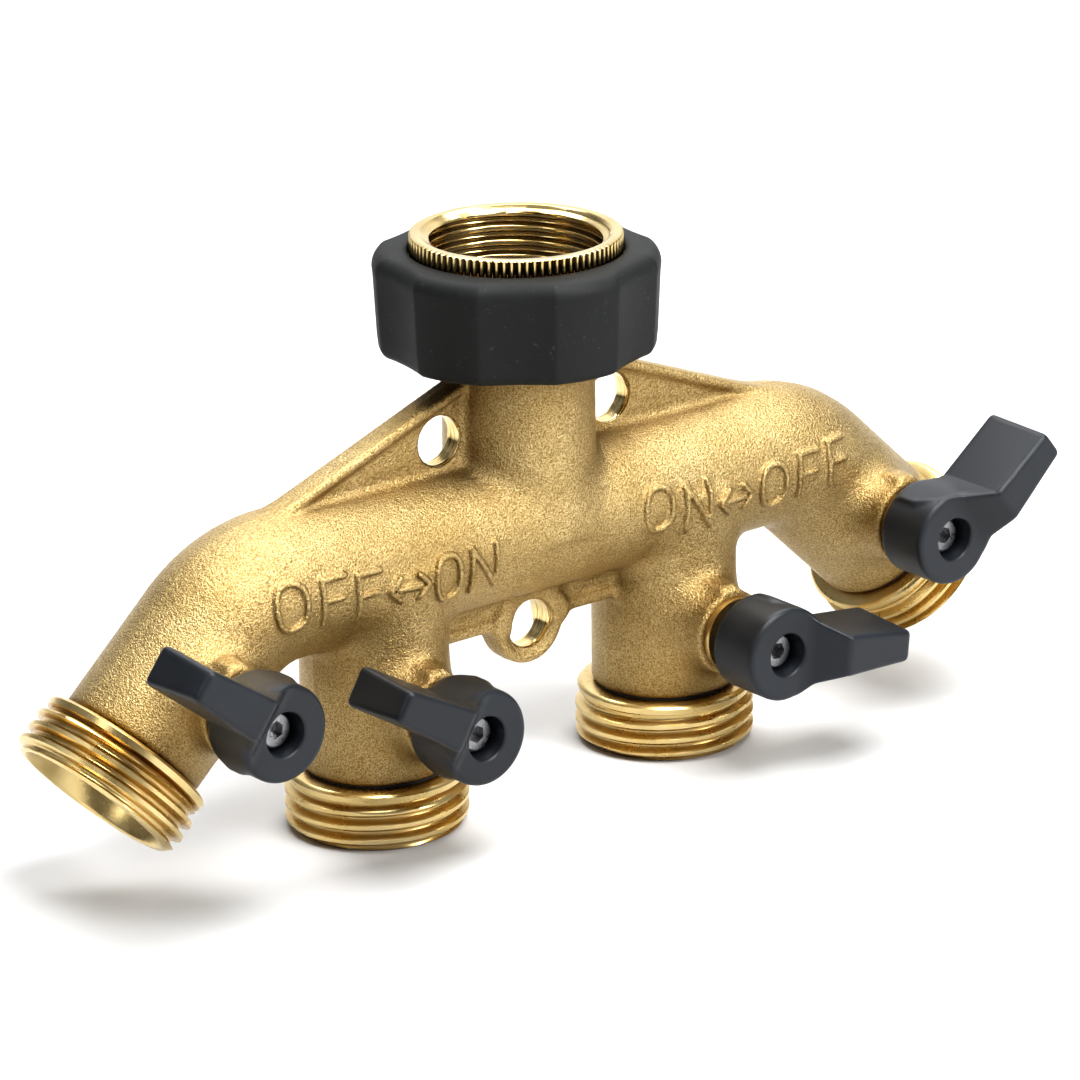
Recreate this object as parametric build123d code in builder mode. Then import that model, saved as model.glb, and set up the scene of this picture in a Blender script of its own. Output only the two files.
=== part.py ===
from build123d import *
import os
from math import cos, pi, radians, sin, tan

os.makedirs("parts", exist_ok=True)

# Four-way garden hose splitter in cast brass, in millimetres.
# The origin is the centre of the inlet thread's outer end. +Z runs up along the inlet axis, the
# manifold's tube lies along X below it, and the four quarter-turn levers face -Y.

# Overall sizes
nut_length = 15.4
mouth_rise = 1.6
inner_outlet_x = 27.25
inner_outlet_drop = 40.2
outer_outlet_x = 77.0
outer_outlet_drop = 24.4
outer_tilt = 47.0

# Cast manifold
tube_radius = 11.0
leg_radius = 10.9
neck_radius = 11.2
neck_height = 26.6
bend_radius = 18.0
passage_radius = 8.4
web_half_thickness = 1.7
bead_half_thickness = 2.2
bead_height = 1.5
web_top_at_axis = neck_height + 1.5
web_slope = 0.38
flange_depth = 15.6
mounting_hole_radius = 3.7
upper_hole_x = 15.8
upper_hole_height = 15.55
lower_hole_drop = 15.85
ear_radius = 6.0

# Hose thread, 11.5 turns to the inch
thread_crest_radius = 13.45
thread_pitch = 25.4 / 11.5
thread_depth = 1.15
outlet_length = 9.1
outlet_rim_radius = thread_crest_radius - 0.85
outlet_bore_radius = thread_crest_radius - 2.35
collar_length = 2.4
seal_thickness = 0.3

# Ball valve, the same in every leg
ball_radius = 7.0
ball_bore_radius = ball_radius - 2.4
valve_to_joint = 11.0
cavity_radius = ball_radius + 0.4
seat_start = ball_radius - 3.1
seat_length = 3.0
tongue_length = 2 * (seat_start - 0.6)
sleeve_radius = cavity_radius + 1.2
ledge_bore_radius = ball_bore_radius + 0.6
ledge_length = 1.6
running_clearance = 0.05
boss_radius = 6.4
boss_reach = 16.0
stem_radius = 2.9
stem_flange_radius = stem_radius + 1.0
gland_radius = stem_radius + 1.7
gland_head_radius = stem_radius + 2.7
slot_start = ball_radius - 2.1
flange_start = ball_radius + 0.6
flange_end = 9.4
gland_start = 10.2
square_size = 4.1

# Lever
hub_radius = 7.1
hub_back = 17.3
hub_front = 26.2
recess_radius = 3.2
recess_depth = 4.6
blade_back = 18.5
blade_front = 31.0
blade_reach = 20.6
blade_root_half = 5.55
blade_neck_half = 3.2
blade_tip_half = 2.7
lever_set = 8.0
part_open = 38.0
third_lever_stand_off = 2.2

# Swivel inlet
tailpiece_radius = 9.2
tailpiece_bore_radius = 7.2
nut_body_radius = thread_crest_radius + 3.05
nut_ring_radius = thread_crest_radius + 2.05
nut_ring_height = 2.0
nut_lip_length = 2.8
thread_minor_radius = thread_crest_radius - 0.95
nut_cavity_radius = thread_minor_radius - 0.2
tailpiece_flange_radius = nut_cavity_radius - 0.3
grip_valley_radius = nut_body_radius + 3.5
grip_radius = nut_body_radius + 4.5
grip_bottom_height = neck_height - 0.6
washer_length = 2.8

tube_z = -(neck_height + nut_length)
lobe_count = 6
grip_turn = 51.4
axis_meet_x = outer_outlet_x - outer_outlet_drop * tan(radians(outer_tilt))
end_to_valve = outlet_length + valve_to_joint
tilt_sin = sin(radians(outer_tilt))
tilt_cos = cos(radians(outer_tilt))


# Each valve has a plane at its ball's centre: z runs upstream along the leg and y is global +Y.
def valve_plane(side, outer):
    if outer:
        back = end_to_valve
        origin = (
            side * (outer_outlet_x - back * tilt_sin),
            0,
            tube_z - outer_outlet_drop + back * tilt_cos,
        )
        x_dir = (tilt_cos, 0, side * tilt_sin)
        z_dir = (-side * tilt_sin, 0, tilt_cos)
        return Plane(origin=origin, x_dir=x_dir, z_dir=z_dir)
    origin = (side * inner_outlet_x, 0, tube_z - inner_outlet_drop + end_to_valve)
    return Plane(origin=origin, x_dir=(1, 0, 0), z_dir=(0, 0, 1))


# A plane square to the stem: z runs out of the boss towards -Y, and x points along the given
# angle in the XZ plane, counted from +X towards +Z.
def stem_plane(base, angle):
    direction = (cos(radians(angle)), 0, sin(radians(angle)))
    return Plane(origin=base.origin, x_dir=direction, z_dir=(0, -1, 0))


# side, outer leg, lever stand-off, opening at rest, in order from left to right
valves = [
    (-1, True, 0.0, 0.0),
    (-1, False, 0.0, part_open),
    (1, False, third_lever_stand_off, 0.0),
    (1, True, 0.0, 0.0),
]


# ---------------------------------------------------------------------------------------------
# Manifold casting
# ---------------------------------------------------------------------------------------------
def run_wire(start_x, end_back):
    meet = Vector(axis_meet_x, 0, tube_z)
    leg_end = Vector(
        outer_outlet_x - end_back * tilt_sin, 0, tube_z - outer_outlet_drop + end_back * tilt_cos
    )
    with BuildLine() as right:
        FilletPolyline((start_x, 0, tube_z), meet, leg_end, radius=bend_radius)
    return right.line


right_run = run_wire(0, outlet_length)
right_passage = run_wire(0, end_to_valve + seat_start + seat_length + ledge_length)

with BuildPart() as manifold_body:
    for run in (right_run, right_run.mirror(Plane.YZ)):
        with BuildSketch(Plane(origin=(0, 0, tube_z), z_dir=(1, 0, 0))):
            Circle(tube_radius)
        sweep(path=run)
    # inner legs
    for side in (-1, 1):
        with BuildSketch(Plane(origin=(side * inner_outlet_x, 0, tube_z), z_dir=(0, 0, -1))):
            Circle(leg_radius)
        extrude(amount=inner_outlet_drop - outlet_length)
    # neck below the swivel nut
    with BuildSketch(Plane(origin=(0, 0, tube_z), z_dir=(0, 0, 1))):
        Circle(neck_radius)
    extrude(amount=neck_height)
    # triangular webs beside the neck, with a bead along the sloping edge
    for half, lift in ((web_half_thickness, 0.6), (bead_half_thickness, 0)):
        for side in (-1, 1):
            foot = axis_meet_x + 2.0
            low = bead_height if lift == 0 else web_top_at_axis
            with BuildSketch(Plane(origin=(0, 0, tube_z), x_dir=(side, 0, 0), z_dir=(0, -side, 0))):
                with BuildLine():
                    Polyline(
                        (0, web_top_at_axis - lift - neck_radius * 0.1),
                        (foot, web_top_at_axis - lift - web_slope * foot),
                        (foot, max(0, web_top_at_axis - web_slope * foot - low)),
                        (0, max(0, web_top_at_axis - neck_radius * 0.1 - low)),
                        close=True,
                    )
                make_face()
            extrude(amount=half, both=True)
    # flange between the inner legs, its lower bead and the ear
    for half, top in ((web_half_thickness, 0), (bead_half_thickness, flange_depth - bead_height)):
        middle = tube_z - (top + flange_depth) / 2
        with BuildSketch(Plane(origin=(0, 0, middle), x_dir=(1, 0, 0), z_dir=(0, -1, 0))):
            Rectangle(2 * inner_outlet_x, flange_depth - top)
        extrude(amount=half, both=True)
    with BuildSketch(Plane(origin=(0, 0, tube_z - lower_hole_drop), z_dir=(0, -1, 0))):
        Circle(ear_radius)
    extrude(amount=web_half_thickness + 0.2, both=True)
    # stem bosses with a stop lug on each
    for side, outer, stand_off, opening in valves:
        base = valve_plane(side, outer)
        with BuildSketch(stem_plane(base, 0)):
            Circle(boss_radius)
        extrude(amount=boss_reach)
        with BuildSketch(stem_plane(base, 90).offset(boss_reach - 4.2)):
            with Locations((boss_radius + 0.2, 0)):
                Rectangle(2.2, 3.4)
        extrude(amount=3.6)
    # passages: tube, bends, neck, legs
    for run in (right_passage, right_passage.mirror(Plane.YZ)):
        with BuildSketch(Plane(origin=(0, 0, tube_z), z_dir=(1, 0, 0))):
            Circle(passage_radius)
        sweep(path=run, mode=Mode.SUBTRACT)
    with Locations((0, 0, tube_z)):
        Cylinder(
            passage_radius,
            neck_height + 1,
            align=(Align.CENTER, Align.CENTER, Align.MIN),
            mode=Mode.SUBTRACT,
        )
    with Locations((0, 0, tube_z + neck_height)):
        Cylinder(
            tailpiece_radius,
            7.2,
            align=(Align.CENTER, Align.CENTER, Align.MAX),
            mode=Mode.SUBTRACT,
        )
    ledge_top = seat_start + seat_length + ledge_length
    for side, outer, stand_off, opening in valves:
        base = valve_plane(side, outer)
        with BuildSketch(base.offset(-valve_to_joint)):
            Circle(sleeve_radius)
        extrude(amount=valve_to_joint - seat_start - seat_length, mode=Mode.SUBTRACT)
        with BuildSketch(base.offset(-valve_to_joint)):
            Circle(cavity_radius)
        extrude(amount=valve_to_joint + seat_start + seat_length, mode=Mode.SUBTRACT)
        with BuildSketch(base):
            Circle(ledge_bore_radius)
        extrude(amount=ledge_top + 0.5, mode=Mode.SUBTRACT)
        if not outer:
            with BuildSketch(base.offset(ledge_top)):
                Circle(passage_radius)
            extrude(amount=6, mode=Mode.SUBTRACT)
        # stem bore, and the gland's wider thread outside it
        with BuildSketch(stem_plane(base, 0)):
            Circle(stem_flange_radius + running_clearance)
        extrude(amount=boss_reach, mode=Mode.SUBTRACT)
        with BuildSketch(stem_plane(base, 0).offset(gland_start)):
            Circle(gland_radius)
        extrude(amount=boss_reach - gland_start, mode=Mode.SUBTRACT)
    # mounting holes
    for x, z in (
        (-upper_hole_x, upper_hole_height),
        (upper_hole_x, upper_hole_height),
        (0, -lower_hole_drop),
    ):
        with BuildSketch(Plane(origin=(x, 0, tube_z + z), z_dir=(0, -1, 0))):
            Circle(mounting_hole_radius)
        extrude(amount=ear_radius, both=True, mode=Mode.SUBTRACT)
manifold_body.part.label = "manifold_body"
export_step(manifold_body.part, "parts/manifold_body.step")


# ---------------------------------------------------------------------------------------------
# Swivel inlet
# ---------------------------------------------------------------------------------------------
nut_bottom = tube_z + neck_height + 0.3
lip_top = nut_bottom + nut_lip_length
flange_bottom = lip_top + 0.3
flange_top = flange_bottom + 2.2
washer_top = flange_top + washer_length

# Tailpiece: screwed into the neck, its flange holds the swivel nut
with BuildPart() as inlet_tailpiece:
    with BuildSketch(Plane.XZ):
        with BuildLine():
            Polyline(
                (tailpiece_bore_radius, tube_z + neck_height - 7.0),
                (tailpiece_radius - running_clearance, tube_z + neck_height - 7.0),
                (tailpiece_radius - running_clearance, flange_bottom),
                (tailpiece_flange_radius, flange_bottom),
                (tailpiece_flange_radius, flange_top),
                (tailpiece_bore_radius, flange_top),
                close=True,
            )
        make_face()
    revolve(axis=Axis.Z)
inlet_tailpiece.part.label = "inlet_tailpiece"
export_step(inlet_tailpiece.part, "parts/inlet_tailpiece.step")

# Swivel nut with the female hose thread
with BuildPart() as swivel_nut:
    with BuildSketch(Plane.XZ):
        with BuildLine():
            Polyline(
                (tailpiece_radius + running_clearance, nut_bottom),
                (nut_body_radius, nut_bottom),
                (nut_body_radius, mouth_rise - nut_ring_height),
                (nut_ring_radius, mouth_rise - nut_ring_height),
                (nut_ring_radius, mouth_rise - 0.2),
                (nut_ring_radius - 0.3, mouth_rise),
                (thread_crest_radius + 0.75, mouth_rise),
                (thread_minor_radius, 0),
                (thread_minor_radius, washer_top + 0.2),
                (nut_cavity_radius, washer_top + 0.2),
                (nut_cavity_radius, lip_top),
                (tailpiece_radius + running_clearance, lip_top),
                close=True,
            )
        make_face()
    revolve(axis=Axis.Z)
    # thread grooves
    groove_count = int(-washer_top / thread_pitch)
    with BuildSketch(Plane.XZ):
        for turn in range(groove_count):
            z = -0.4 - (turn + 0.5) * thread_pitch
            with BuildLine():
                Polyline(
                    (thread_minor_radius - 0.2, z - 0.75),
                    (thread_minor_radius, z - 0.75),
                    (thread_crest_radius + 0.1, z - 0.15),
                    (thread_crest_radius + 0.1, z + 0.15),
                    (thread_minor_radius, z + 0.75),
                    (thread_minor_radius - 0.2, z + 0.75),
                    close=True,
                )
            make_face()
    revolve(axis=Axis.Z, mode=Mode.SUBTRACT)
swivel_nut.part.label = "swivel_nut"
export_step(swivel_nut.part, "parts/swivel_nut.step")

# Moulded grip round the nut: six lobes, and a floor that hides the nut's underside
grip_bottom = tube_z + grip_bottom_height
with BuildPart() as nut_grip:
    with BuildSketch(Plane(origin=(0, 0, grip_bottom), z_dir=(0, 0, 1))):
        with BuildLine():
            for lobe in range(lobe_count):
                start = radians(grip_turn + lobe * 360 / lobe_count)
                middle = start + pi / lobe_count
                end = start + 2 * pi / lobe_count
                ThreePointArc(
                    (grip_valley_radius * cos(start), grip_valley_radius * sin(start)),
                    (grip_radius * cos(middle), grip_radius * sin(middle)),
                    (grip_valley_radius * cos(end), grip_valley_radius * sin(end)),
                )
        make_face()
    extrude(amount=mouth_rise - nut_ring_height - grip_bottom)
    fillet(nut_grip.faces().sort_by(Axis.Z)[-1].edges(), radius=1.6)
    fillet(nut_grip.faces().sort_by(Axis.Z)[0].edges(), radius=1.4)
    with BuildSketch(Plane(origin=(0, 0, nut_bottom), z_dir=(0, 0, 1))):
        Circle(nut_body_radius)
    extrude(amount=mouth_rise - nut_bottom, mode=Mode.SUBTRACT)
    with BuildSketch(Plane(origin=(0, 0, grip_bottom), z_dir=(0, 0, 1))):
        Circle(neck_radius + 1.0)
    extrude(amount=nut_bottom - grip_bottom, mode=Mode.SUBTRACT)
nut_grip.part.label = "nut_grip"
export_step(nut_grip.part, "parts/nut_grip.step")

# Rubber washer on the tailpiece's flange
with BuildPart() as inlet_washer:
    with Locations((0, 0, flange_top)):
        Cylinder(
            nut_cavity_radius - 0.3, washer_length, align=(Align.CENTER, Align.CENTER, Align.MIN)
        )
        Cylinder(
            tailpiece_bore_radius + 1.0,
            washer_length,
            align=(Align.CENTER, Align.CENTER, Align.MIN),
            mode=Mode.SUBTRACT,
        )
inlet_washer.part.label = "inlet_washer"
export_step(inlet_washer.part, "parts/inlet_washer.step")

# Filter screen: a perforated disc with a rim, held in the washer's bore
with BuildPart() as filter_screen:
    with Locations((0, 0, flange_top)):
        Cylinder(
            tailpiece_bore_radius + 0.95,
            1.8,
            align=(Align.CENTER, Align.CENTER, Align.MIN),
        )
    with Locations((0, 0, flange_top)):
        Cylinder(
            tailpiece_bore_radius + 0.2,
            1.3,
            align=(Align.CENTER, Align.CENTER, Align.MIN),
            mode=Mode.SUBTRACT,
        )
    with Locations((0, 0, flange_top)):
        with HexLocations(0.95, 7, 7):
            Cylinder(
                0.6, 3, align=(Align.CENTER, Align.CENTER, Align.MIN), mode=Mode.SUBTRACT
            )
filter_screen.part.label = "filter_screen"
export_step(filter_screen.part, "parts/filter_screen.step")


# ---------------------------------------------------------------------------------------------
# Valves
# ---------------------------------------------------------------------------------------------
root_radius = thread_crest_radius - thread_depth
seat_end = seat_start + seat_length
for number, (side, outer, stand_off, opening) in enumerate(valves, 1):
    base = valve_plane(side, outer)
    leg_turn = side * outer_tilt if outer else 0
    closed_lever = (leg_turn - lever_set) if side > 0 else (180 + leg_turn + lever_set)
    lever_angle = closed_lever + side * opening
    bore_angle = leg_turn + side * opening
    joint = base.offset(-valve_to_joint)

    # Outlet fitting: sleeve that clamps the outer seat, collar, and the male hose thread
    with BuildPart() as outlet_fitting:
        with BuildSketch(Plane(origin=base.origin, x_dir=base.x_dir, z_dir=-base.y_dir)):
            with BuildLine():
                Polyline(
                    (ledge_bore_radius, -seat_end),
                    (sleeve_radius - running_clearance, -seat_end),
                    (sleeve_radius - running_clearance, -valve_to_joint - seal_thickness),
                    (thread_crest_radius - 0.6, -valve_to_joint - seal_thickness),
                    (thread_crest_radius, -valve_to_joint - seal_thickness - 0.6),
                    (thread_crest_radius, -end_to_valve + 0.9),
                    (outlet_rim_radius, -end_to_valve),
                    (outlet_bore_radius + 0.5, -end_to_valve),
                    (outlet_bore_radius, -end_to_valve + 0.6),
                    (outlet_bore_radius, -valve_to_joint - 2.8),
                    (ledge_bore_radius + 2.2, -valve_to_joint - 1.4),
                    (ledge_bore_radius, -valve_to_joint),
                    close=True,
                )
            make_face()
        revolve(axis=Axis(base.origin, base.z_dir))
        with BuildSketch(Plane(origin=base.origin, x_dir=base.x_dir, z_dir=-base.y_dir)):
            for turn in range(3):
                z = -valve_to_joint - collar_length - (turn + 0.5) * thread_pitch + 0.3
                with BuildLine():
                    Polyline(
                        (thread_crest_radius + 0.2, z - 0.8),
                        (thread_crest_radius, z - 0.8),
                        (root_radius, z - 0.2),
                        (root_radius, z + 0.2),
                        (thread_crest_radius, z + 0.8),
                        (thread_crest_radius + 0.2, z + 0.8),
                        close=True,
                    )
                make_face()
        revolve(axis=Axis(base.origin, base.z_dir), mode=Mode.SUBTRACT)
    outlet_fitting.part.label = f"outlet_fitting_{number}"
    export_step(outlet_fitting.part, f"parts/outlet_fitting_{number}.step")

    # Seats: rings dished to the ball, one on each side of it
    for name, way in (("seat_inner", 1), ("seat_outer", -1)):
        with BuildPart() as seat:
            with BuildSketch(base.offset(way * seat_start)):
                Circle(cavity_radius - running_clearance)
                Circle(ball_bore_radius, mode=Mode.SUBTRACT)
            extrude(amount=way * seat_length)
            with Locations(Location(base.origin)):
                Sphere(ball_radius + running_clearance, mode=Mode.SUBTRACT)
        seat.part.label = f"{name}_{number}"
        export_step(seat.part, f"parts/{name}_{number}.step")

    # Ball: cross bore, and a slot for the stem's tongue
    with BuildPart() as valve_ball:
        with Locations(Location(base.origin)):
            Sphere(ball_radius)
        ball_face = stem_plane(base, bore_angle)
        with BuildSketch(Plane(origin=base.origin, x_dir=(0, 1, 0), z_dir=ball_face.x_dir)):
            Circle(ball_bore_radius)
        extrude(amount=ball_radius, both=True, mode=Mode.SUBTRACT)
        with BuildSketch(ball_face.offset(slot_start)):
            Rectangle(3.2, 2 * ball_radius)
        extrude(amount=ball_radius, mode=Mode.SUBTRACT)
    valve_ball.part.label = f"valve_ball_{number}"
    export_step(valve_ball.part, f"parts/valve_ball_{number}.step")

    # Stem: tongue, flange, shaft with two ring grooves, and the lever's square
    square_end = hub_front - recess_depth - 1.4
    with BuildPart() as valve_stem:
        with BuildSketch(ball_face.offset(slot_start + 0.1)):
            Rectangle(3.1, tongue_length)
        extrude(amount=flange_start - slot_start)
        with BuildSketch(ball_face.offset(flange_start)):
            Circle(stem_flange_radius)
        extrude(amount=flange_end - flange_start)
        with BuildSketch(ball_face.offset(flange_end)):
            Circle(stem_radius)
        extrude(amount=boss_reach + 1.1 - flange_end)
        for groove in (11.2, 13.4):
            with BuildSketch(ball_face.offset(groove)):
                Circle(stem_radius)
                Circle(stem_radius - 0.9, mode=Mode.SUBTRACT)
            extrude(amount=1.4, mode=Mode.SUBTRACT)
        with BuildSketch(ball_face.offset(boss_reach + 1.1)):
            Rectangle(square_size, square_size)
        extrude(amount=square_end + stand_off - boss_reach - 1.1)
        with BuildSketch(ball_face.offset(square_end + stand_off)):
            Circle(1.45)
        extrude(amount=-6.5, mode=Mode.SUBTRACT)
    valve_stem.part.label = f"valve_stem_{number}"
    export_step(valve_stem.part, f"parts/valve_stem_{number}.step")

    # Two rubber rings in the stem's grooves, sealing against the gland
    for name, groove in (("stem_ring_in", 11.2), ("stem_ring_out", 13.4)):
        with BuildPart() as ring:
            with Locations(ball_face.offset(groove + 0.7)):
                Torus(stem_radius - 0.9 + 0.47, 0.46)
        ring.part.label = f"{name}_{number}"
        export_step(ring.part, f"parts/{name}_{number}.step")

    # Gland bush: screwed into the boss, it holds the stem's flange in
    with BuildPart() as gland_bush:
        with BuildSketch(ball_face.offset(gland_start)):
            Circle(gland_radius - running_clearance)
        extrude(amount=boss_reach - gland_start)
        with BuildSketch(ball_face.offset(boss_reach)):
            Circle(gland_head_radius)
        extrude(amount=1.0)
        with BuildSketch(ball_face.offset(gland_start)):
            Circle(stem_radius + running_clearance)
        extrude(amount=boss_reach, mode=Mode.SUBTRACT)
    gland_bush.part.label = f"gland_bush_{number}"
    export_step(gland_bush.part, f"parts/gland_bush_{number}.step")

    # Lever: hub with a square socket and a screw recess, and a blade that leans outwards
    grip_face = stem_plane(base, lever_angle)
    with BuildPart() as lever:
        with BuildSketch(grip_face.offset(hub_back + stand_off)):
            Circle(hub_radius)
        extrude(amount=hub_front - hub_back)
        fillet(lever.faces().sort_by(Axis.Y)[0].edges(), radius=0.6)
        with BuildSketch(grip_face.offset(blade_back + stand_off)):
            with BuildLine():
                Polyline(
                    (0, -hub_radius * 0.86),
                    (hub_radius * 0.52, -blade_root_half),
                    (hub_radius + 1.4, -blade_neck_half),
                    (blade_reach, -blade_tip_half),
                    (blade_reach, blade_tip_half),
                    (hub_radius + 1.4, blade_neck_half),
                    (hub_radius * 0.52, blade_root_half),
                    (0, hub_radius * 0.86),
                    close=True,
                )
            make_face()
        extrude(amount=blade_front - blade_back)
        # cut the blade's front back to its side profile
        side_face = Plane(origin=base.origin, x_dir=grip_face.x_dir, z_dir=grip_face.y_dir)
        with BuildSketch(side_face):
            with BuildLine():
                Polyline(
                    (-hub_radius - 1, -(hub_front + stand_off)),
                    (hub_radius * 0.52, -(hub_front + stand_off)),
                    (hub_radius + 1.1, -(blade_front + stand_off)),
                    (hub_radius + 1.1, -(blade_front + stand_off + 5)),
                    (-hub_radius - 1, -(blade_front + stand_off + 5)),
                    close=True,
                )
            make_face()
        extrude(amount=hub_radius + 2, both=True, mode=Mode.SUBTRACT)
        with BuildSketch(grip_face.offset(hub_front + stand_off)):
            Circle(recess_radius)
        extrude(amount=-recess_depth, mode=Mode.SUBTRACT)
        with BuildSketch(grip_face.offset(hub_front + stand_off)):
            Circle(1.7)
        extrude(amount=-recess_depth - 2, mode=Mode.SUBTRACT)
        with BuildSketch(stem_plane(base, bore_angle).offset(hub_back + stand_off)):
            Rectangle(square_size + 2 * running_clearance, square_size + 2 * running_clearance)
        extrude(amount=square_end - hub_back, mode=Mode.SUBTRACT)
    lever.part.label = f"lever_{number}"
    export_step(lever.part, f"parts/lever_{number}.step")

    # Screw that holds the lever on the stem
    with BuildPart() as lever_screw:
        head_seat = grip_face.offset(hub_front + stand_off - recess_depth)
        with BuildSketch(head_seat):
            Circle(2.75)
        extrude(amount=2.2)
        fillet(lever_screw.faces().sort_by(Axis.Y)[0].edges(), radius=0.5)
        with BuildSketch(head_seat):
            Circle(1.45)
        extrude(amount=-6.4)
        with BuildSketch(head_seat.offset(2.2)):
            RegularPolygon(1.35, 6)
        extrude(amount=-1.4, mode=Mode.SUBTRACT)
    lever_screw.part.label = f"lever_screw_{number}"
    export_step(lever_screw.part, f"parts/lever_screw_{number}.step")

    # Thin sealing ring under the fitting's collar
    with BuildPart() as joint_seal:
        with BuildSketch(joint):
            Circle(leg_radius - 0.5)
            Circle(sleeve_radius, mode=Mode.SUBTRACT)
        extrude(amount=-seal_thickness)
    joint_seal.part.label = f"joint_seal_{number}"
    export_step(joint_seal.part, f"parts/joint_seal_{number}.step")
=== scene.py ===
import math

import bmesh
import bpy
import numpy as np
import openvdb
from mathutils import Matrix, Vector


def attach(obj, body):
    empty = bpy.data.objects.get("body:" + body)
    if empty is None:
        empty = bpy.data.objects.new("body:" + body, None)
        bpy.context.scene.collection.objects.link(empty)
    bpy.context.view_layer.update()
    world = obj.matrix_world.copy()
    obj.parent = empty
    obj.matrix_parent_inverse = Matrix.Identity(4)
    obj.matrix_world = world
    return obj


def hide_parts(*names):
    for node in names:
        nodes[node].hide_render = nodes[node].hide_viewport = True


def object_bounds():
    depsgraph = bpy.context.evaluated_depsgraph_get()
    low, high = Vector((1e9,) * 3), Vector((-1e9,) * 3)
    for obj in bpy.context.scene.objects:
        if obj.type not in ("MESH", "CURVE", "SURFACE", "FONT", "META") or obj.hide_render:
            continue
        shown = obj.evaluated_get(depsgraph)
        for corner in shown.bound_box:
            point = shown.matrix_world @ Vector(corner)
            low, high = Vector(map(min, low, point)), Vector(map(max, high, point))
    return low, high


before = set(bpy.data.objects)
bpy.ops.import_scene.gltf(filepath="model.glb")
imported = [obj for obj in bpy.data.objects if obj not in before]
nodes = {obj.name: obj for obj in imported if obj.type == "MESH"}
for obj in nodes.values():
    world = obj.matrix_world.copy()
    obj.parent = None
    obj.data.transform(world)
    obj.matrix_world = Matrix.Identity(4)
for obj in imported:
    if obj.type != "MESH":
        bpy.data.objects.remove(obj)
cad_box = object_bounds()

MM = 0.001

# The shapes below are worked out in millimetres and scaled to metres as their meshes are made.
# Heights, called h, are counted from the manifold tube's axis.
TILT = math.radians(47.0)
SIN_TILT = math.sin(TILT)
COS_TILT = math.cos(TILT)
TURN = math.radians(90) - TILT
TUBE_RADIUS = 11.0
LEG_RADIUS = 10.9
NECK_RADIUS = 11.2
BEND_RADIUS = 18.0
PASSAGE_RADIUS = 8.4
NECK_TOP = 26.6
INNER_X = 27.25
OUTER_X = 77.0
OUTER_DROP = 24.4
INNER_DROP = 40.2
OUTLET_LENGTH = 9.1
VALVE_TO_JOINT = 11.0
END_TO_VALVE = OUTLET_LENGTH + VALVE_TO_JOINT
THREAD_PITCH = 25.4 / 11.5
# A thread's profile: shares of one turn's pitch, and the depth there from 0 (root) to 1 (crest)
THREAD_SHARES = np.array([0, 0.09, 0.16, 0.23, 0.33, 0.37, 0.5, 0.63, 0.67, 0.77, 0.84, 0.91, 1.0])
THREAD_DEPTHS = np.array([0, 0.02, 0.1, 0.32, 0.9, 1, 1, 1, 0.9, 0.32, 0.1, 0.02, 0])
CREST_RADIUS = 13.45
ROOT_RADIUS = 12.2
TUBE_Z = -42.0
MOUTH_RISE = 1.6
HOLE_RADIUS = 3.7
UPPER_HOLE = (15.8, 15.55)
LOWER_HOLE = (0.0, -15.85)
SLEEVE_RADIUS = 8.6
LEDGE_RADIUS = 5.2
BALL_CHAMBER_RADIUS = 7.4
SEAT_END = 6.9
BOSS_RADIUS = 6.4
BOSS_REACH = 16.0
GLAND_RADIUS = 4.6
HUB_RADIUS = 7.1
HUB_BACK = 17.3
HUB_FRONT = 26.2
BLADE_BACK = 18.5
BLADE_REACH = 20.6
THIRD_LEVER_STAND_OFF = 2.2
NUT_RADIUS = 16.5
NUT_BOTTOM = TUBE_Z + 26.9

MEET_X = OUTER_X - OUTER_DROP * SIN_TILT / COS_TILT
BEND_START = MEET_X - BEND_RADIUS * math.tan(TURN / 2)
OUTER_VALVE = (OUTER_X - END_TO_VALVE * SIN_TILT, -OUTER_DROP + END_TO_VALVE * COS_TILT)
INNER_VALVE = (INNER_X, -INNER_DROP + END_TO_VALVE)


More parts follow.
